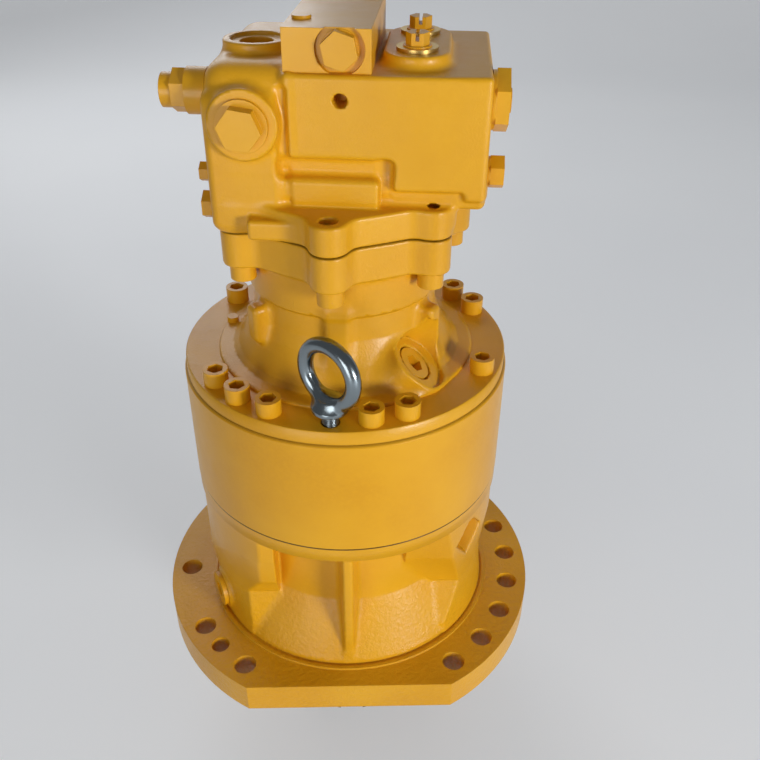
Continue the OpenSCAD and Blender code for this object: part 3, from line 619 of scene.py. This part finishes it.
def head_field(at):
    """Port head: a bolted plate, a square body with a rounded left
    shoulder, and bosses for the ports and valves."""
    body = common(at.block((-38, -80, 545), (130, 96, CROWN), 4.0),
                  at.half((79, -80, 600), (0.10, -1, 0)), 5.0)
    body = cut(body, at.block((50, -120, 520), (111, -68, 553), 4.0), 5.0)
    core = at.block((-95, -70, JOINT + 4), (106, 72, 556), 8.0)
    column = at.block((HEAD_LEFT, -84, JOINT + 1), (-41, 62, 632), 9.0)
    roof = common(HEAD_LEFT - at.x, at.z - 653, 22.0)
    roof = common(roof, -79 - at.y, 26.0)
    roof = common(roof, at.x + 33, 5.0)
    shoulder = common(common(roof, at.y - 96, 12.0), 570 - at.z, 3.0)
    head = join(body, core, 8.0)
    head = join(head, column, 10.0)
    head = join(head, shoulder, 7.0)
    head = join(head, at.block((100, -70, 535), (130, 90, 560), 6.0), 6.0)
    head = cut(head, at.block((-44, -110, 572), (-36, -76.5, 638), 3.0), 4.0)
    head = cut(head, at.block((-45, -110, 563.5), (50, -71, 579), 5.0), 6.0)
    head = cut(head, at.block((38, -110, 542), (51, -71, 579), 4.0), 5.0)
    head = join(head, at.block((-62, -77, 532), (-28, 62, 558), 5.0), 5.0)
    head = join(head, at.block((-35, -82, 540), (40, -50, 562), 3.5), 2.5)
    head = join(head, at.rod((-70.5, -92, 609.5), (0, 1, 0), 29.5, 30, 1.5),
                5.5)
    head = common(head, HEAD_LEFT - at.x, 2.0)
    head = join(head, lobed(at, JOINT, LEDGE, 2.5), 6.0)
    head = join(head, at.block((-72, -98, 512), (-27, -50, 530), 3.5), 3.5)
    head = join(head, at.rod((*TOP_PORT, 620), (0, 0, 1), 29, 41, 2.0), 5.0)
    oval = np.hypot(at.x - CHECK_X, at.y - np.clip(at.y, *CHECK_YS)) - 28.0
    head = join(head, rounded(oval, np.abs(at.z - 644) - 14.0, 2.5), 8.0)
    for a in LUGS:
        seen = at.turned(a)
        head = cut(head, seen.rod((LUG_RING, 0, 500), (0, 0, 1), 8.1, 41, 0.5),
                   1.0)
    for spot, along, radius, length in HEAD_BORES:
        head = cut(head, at.rod(spot, along, radius, length, 0.3), 0.8)
    return head


casting("head_casting", "port_head", head_field,
        (-126, -134, 506), (140, 134, 668), 2.2, HEAD_TURN)

# ------------------------------------------------------------ motor casing
CASING_WALL = [(70, 350), (131, 350), (131, DECK + 2), (129, DECK + 3),
               (116, DECK + 4), (110, DECK + 8), (106, DECK + 15),
               (100, DECK + 26), (95, DECK + 37), (91, DECK + 50),
               (90.5, 431), (90.5, 435), (NECK, 438), (NECK, JOINT),
               (70, JOINT)]
CASING_BORE = [(0, 340), (40.3, 340), (40.3, 378), (48, 384), (82, 384),
               (82, 442), (86, 442), (86, 520), (0, 520)]

# The case port: the middle of its face, the tilt and turn of its axis, a
# direction across that axis, and the middle of the wider boss round it.
PORT_SPOT = np.array([67.2, -84.0, 383.0])
PORT_TILT, PORT_TURN = math.radians(42), math.radians(-12)
PORT_AXIS = np.array([math.sin(PORT_TILT) * math.cos(PORT_TURN),
                      math.sin(PORT_TILT) * math.sin(PORT_TURN),
                      math.cos(PORT_TILT)])
PORT_SIDE = np.array([math.cos(PORT_TILT) * math.cos(PORT_TURN),
                      math.cos(PORT_TILT) * math.sin(PORT_TURN),
                      -math.sin(PORT_TILT)])
PORT_BODY = PORT_SPOT + 5.9 * PORT_SIDE + 5.3 * np.cross(PORT_AXIS, PORT_SIDE)


def casing_field(at):
    """Motor casing above its flange: a turned shell that flares out at the
    foot, the lobed head joint, two cast lugs, a rib and an angled port."""
    wall = at.lathe(CASING_WALL)
    rib = at.turned(-94)
    shell = join(wall, rib.block((70, -11, DECK - 6), (NECK + 0.5, 11, 445),
                                 4.0), 10.0)
    head = at.turned(HEAD_TURN)
    shell = join(shell, lobed(head, JOINT - 34, JOINT - 0.3, 1.6), 9.0)
    for a in (-141, -29):
        lug = head.turned(a)
        shell = join(shell, lug.block((78, -9, 392), (107, 9, 430), 5.0), 9.0)
    boss = at.rod(PORT_BODY, -PORT_AXIS, 29.5, 34, 2.0)
    boss = join(boss, at.rod(PORT_SPOT, -PORT_AXIS, 27, 34, 2.0), 4.0)
    arm = head.turned(-29).block((70, -14, 372), (104, 10, 396), 8.0)
    boss = join(boss, arm, 16.0)
    boss = common(boss, DECK - 6 - at.z, 0.5)
    shell = join(shell, boss, 12.0)
    # This spot face also cuts far into the wall above the boss, and leaves
    # only a thin skin there.
    face = (PORT_SPOT + PORT_BODY) / 2
    shell = cut(shell, at.rod(face, PORT_AXIS, 29, 34, 0.5), 1.5)
    shell = cut(shell, at.lathe(CASING_BORE), 0.6)
    shell = cut(shell, at.rod(PORT_SPOT + 6 * PORT_AXIS, -PORT_AXIS, 19, 14,
                              0.4), 1.0)
    shell = cut(shell, at.rod(PORT_SPOT, -PORT_AXIS, 14.1, 22, 0.4), 0.8)
    for a in LUGS:
        shell = cut(shell, head.turned(a).rod((LUG_RING, 0, 460), (0, 0, 1),
                                              8.8, 60, 0.4), 0.8)
    return shell


casting("casing_casting", "motor_casing", casing_field,
        (-136, -136, 346), (136, 136, 515), 2.4)
machined("casing_flange", "motor_casing", None, DECK + 0.4)

# ------------------------------------------------------------ gear housing
FOOT = 36.0
BAND = 202.0
HOUSING_WALL = [(90, 30), (161, 30), (160.5, 40), (130, 107), (130, 172),
                (134, 182), (158, 196), (163, 199), (163, 206), (90, 206)]
HOUSING_BORE = [(0, 20), (100, 20), (100, 63), (90, 63), (90, 71), (104, 80),
                (104, 136), (72, 144), (72, 150), (80, 150), (80, 190),
                (122, 190), (122, 220), (0, 220)]

# One half of each side pad's outline, as (y, z).
RIGHT_PAD = [(119, FOOT - 4), (119, 52), (97, 97), (120, 156), (127, 199),
             (127, 204)]
LEFT_PAD = [(117, FOOT - 4), (117, 52), (111, 101), (131, 134), (137, 172),
            (137, 204)]


def flanks(at, half):
    """Distance in the side view to a pad, from one half of its outline."""
    return outline_distance(at.y, at.z,
                            [(-y, z) for y, z in half] + half[::-1])


def housing_field(at):
    """Gear housing between its flange and its band: a cone under a waist,
    two wide side pads drawn in at a crease, the right one with a notch in
    either flank, two ribs and two plug bosses."""
    wall = at.lathe(HOUSING_WALL)
    across = np.hypot(at.x, at.y)
    drawn_in = across - np.interp(at.z, (36, 98, 162), (161, 157, 165))
    pad = common(common(drawn_in, flanks(at, RIGHT_PAD), 1.6), 60 - at.x, 1.0)
    wall = join(wall, pad, 4.0)
    crease = at.z - (101 - 0.75 * np.maximum(115 - np.abs(at.y), 0))
    drawn_in = across - np.minimum(
        157 + 0.125 * np.maximum(crease, 0) + 0.06 * np.maximum(-crease, 0),
        165)
    pad = common(common(drawn_in, flanks(at, LEFT_PAD), 1.6), 76 + at.x, 1.0)
    wall = join(wall, pad, 4.0)
    for a in (-90, 90):
        seen = at.turned(a)
        draft = np.abs(seen.y) - 5 - (157.5 - seen.x) * 0.20
        rib = common(common(draft, seen.x - 157.5, 3.0),
                     np.abs(at.z - 116) - 84, 2.0)
        wall = join(wall, common(rib, 100 - seen.x, 1.0), 6.0)
    for a in (37, -37):
        notch = at.turned(a).tipped((167.5, 0, 166), 45, 35)
        wall = cut(wall, notch.block((-17, -17, -17), (17, 17, 17), 1.0), 2.0)
    for a in (-155, 150):
        seen = at.turned(a)
        wall = join(wall, seen.rod((120, 0, 61), (1, 0, 0), 23, 42.5, 2.0),
                    5.0)
    return cut(wall, at.lathe(HOUSING_BORE), 0.6)


casting("housing_casting", "gear_housing", housing_field,
        (-170, -166, 28), (170, 166, 208), 2.6)
machined("housing_flange", "gear_housing", None, 38.5)
machined("housing_band", "gear_housing", BAND - 0.5, None)

# ---------------------------------------------------------------- eyebolt
# Where the eyebolt stands on the casing's flange, by its radius and angle.
EYE_RADIUS, EYE_ANGLE = 149, math.radians(-95)
EYE_SPOT = np.array([EYE_RADIUS * math.cos(EYE_ANGLE),
                     EYE_RADIUS * math.sin(EYE_ANGLE), DECK])


def eye_field(at):
    """Forged eye: a ring that flows into its collar over a plain shank."""
    ring = at.ring(EYE_SPOT + [0, 0, 52], (-0.656, -0.755, 0), 28.25, 14.5)
    local = Spots(at.x - EYE_SPOT[0], at.y - EYE_SPOT[1], at.z - DECK)
    collar = local.lathe([(0, 15), (17, 15), (17.4, 16), (17.4, 19), (16, 21),
                          (12, 27), (0, 28)])
    shank = local.rod((0, 0, -14), (0, 0, 1), 6.9, 34, 0.8)
    return join(join(ring, collar, 7.0), shank, 1.5)


casting("eye_forging", "eyebolt", eye_field, (-46, -180, 344),
        (20, -118, 452), 1.3)


def eye_thread():
    """Screw thread of the eyebolt: the radius swings between root and crest
    as a triangle wave of the height less the lead at that angle, and the
    first and last rows shrink to the axis to close it."""
    pitch, root, crest = 2.0, 6.8, 8.0
    turn = np.linspace(0.0, 2 * math.pi, 49)
    rise = np.concatenate([[-0.4], np.arange(-0.4, 15.6, 0.25), [15.35]])
    phase = rise[:, None] / pitch - turn[None, :] / (2 * math.pi)
    wave = np.abs(2.0 * (phase - np.floor(phase)) - 1.0)
    radius = root + (crest - root) * wave
    radius[0] = radius[-1] = 0.0
    grid = np.stack([EYE_SPOT[0] + radius * np.cos(turn),
                     EYE_SPOT[1] + radius * np.sin(turn),
                     np.broadcast_to(DECK + rise[:, None], radius.shape)], -1)
    return fitted(closed(sheet_mesh("eye_thread", grid * MM)), "eyebolt")


eye_thread()


# ---------------------------------------------------------------- springs
def coils(name, stands_for, spots, low, high, middle, wire, turns):
    """Wire springs standing on spots: a circle of the wire's thickness is
    carried up a helix of the middle radius, and shrinks to a point at both
    ends."""
    share = np.concatenate([[0.0], np.linspace(0.0, 1.0, 24 * turns + 1),
                            [1.0]])
    thick = np.full((share.size, 1), wire / 2)
    thick[0] = thick[-1] = 0.0
    turn = 2 * math.pi * turns * share[:, None]
    around = np.linspace(0.0, 2 * math.pi, 9)
    reach = middle + thick * np.cos(around)
    rise = (low + wire / 2 + (high - low - wire) * share[:, None]
            + thick * np.sin(around))
    grids = [np.stack([x + reach * np.cos(turn), y + reach * np.sin(turn),
                       rise], -1) * MM for x, y in spots]
    return fitted(closed(sheet_mesh(name, *grids)), stands_for)


def squeezed(spring, joint, low, high, travel):
    """Gives a spring its own copy of its mesh; the joint, the two heights in
    millimetres and the travel are not used."""
    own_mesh(spring)


# Radius of the ring of brake springs, and the heights between which the
# brake springs and the check springs stand at rest.
BRAKE_SPRING_RING = 74.0
BRAKE_SPRING = (486.6, 510.7)
CHECK_SPRING = (608.5, 644.5)
angles = [math.radians(30 * i + 15) for i in range(12)]
squeezed(coils("brake_coils", "brake_springs",
               [(BRAKE_SPRING_RING * math.cos(a),
                 BRAKE_SPRING_RING * math.sin(a)) for a in angles],
               *BRAKE_SPRING, 4.2, 1.6, 6),
         "brake_release", *BRAKE_SPRING, 2.0)
head_c = math.cos(math.radians(HEAD_TURN))
head_s = math.sin(math.radians(HEAD_TURN))
for side, y in zip(("front", "back"), CHECK_YS):
    spot = (CHECK_X * head_c - y * head_s, CHECK_X * head_s + y * head_c)
    squeezed(coils(side + "_check_coil", "check_springs", [spot],
                   *CHECK_SPRING, 8.0, 2.0, 8),
             side + "_check_lift", *CHECK_SPRING, 4.0)

# ------------------------------------------------------------------ studio
# Backdrop: where its floor starts and where it begins to bend, the radius of
# the bend, the height of the wall and half the width.
FLOOR_FRONT, FLOOR_BACK, BEND = -6.0, 3.0, 2.0
WALL_TOP, HALF_WIDTH = 8.0, 9.0

# Name, place, size in metres and power in watts of each lamp.
LAMPS = (("key_lamp", (2.4, -2.6, 0.74), 0.7, 76.0),
         ("fill_lamp", (-1.2, -2.6, 0.6), 1.4, 24.0),
         ("rim_lamp", (-1.0, 2.7, 1.9), 2.0, 26.0))


def studio():
    """A pale floor with a wall that curves up behind, and soft lamps."""
    floor_z = float(cad_bounds[0][2])
    turn = np.linspace(0.0, math.pi / 2, 25)
    run = np.concatenate([[FLOOR_FRONT], FLOOR_BACK + BEND * np.sin(turn),
                          [FLOOR_BACK + BEND]])
    rise = np.concatenate([[0.0], BEND - BEND * np.cos(turn), [WALL_TOP]])
    width = np.linspace(-HALF_WIDTH, HALF_WIDTH, 7)
    size = (width.size, run.size)
    grid = np.stack([np.broadcast_to(width[:, None], size),
                     np.broadcast_to(run, size),
                     np.broadcast_to(rise + floor_z, size)], -1)
    backdrop = sheet_mesh("backdrop", grid)
    backdrop.data.materials.append(backdrop_finish())
    for row in LAMPS:
        lamp(*row)
    world = bpy.data.worlds.new("studio_air")
    world.use_nodes = True
    air = world.node_tree.nodes["Background"]
    air.inputs["Color"].default_value = (0.95, 0.97, 1.0, 1.0)
    air.inputs["Strength"].default_value = 0.17
    bpy.context.scene.world = world


def backdrop_finish():
    """Pale grey paper that is lifted for the camera and in reflections, and
    keeps the motor's shadow."""
    paper = Finish("backdrop_paper", Emission_Strength=1.0)
    tone = paper.blend(paper.noise(1.2, 2.0), colour(0.80, 0.81, 0.83),
                       colour(0.86, 0.87, 0.88))
    seen = sum(paper.node("ShaderNodeLightPath", output=name)
               for name in ("Is Camera Ray", "Is Glossy Ray",
                            "Is Transmission Ray"))
    lift = paper.blend(seen.math("MINIMUM", 1.0), (0.0, 0.0, 0.0, 1.0),
                       (0.26, 0.265, 0.27, 1.0))
    return paper.wear(Base_Color=tone, Emission_Color=lift,
                      Roughness=paper.noise(20.0) * 0.1 + 0.75)


def lamp(name, spot, size, power):
    """A square soft lamp that faces the middle of the motor."""
    light = bpy.data.lights.new(name, "AREA")
    light.size, light.energy = size, power
    made = bpy.data.objects.new(name, light)
    aim = np.array([0.0, 0.0, 0.3]) - np.array(spot)
    aim /= np.linalg.norm(aim)
    side = np.cross(aim, [0.0, 0.0, 1.0])
    side /= np.linalg.norm(side)
    matrix = np.eye(4)
    matrix[:3, 0], matrix[:3, 1] = side, np.cross(side, aim)
    matrix[:3, 2], matrix[:3, 3] = -aim, spot
    made.matrix_world = Matrix(matrix.tolist())
    bpy.context.scene.collection.objects.link(made)


studio()
bpy.context.scene.view_settings.view_transform = "Standard"
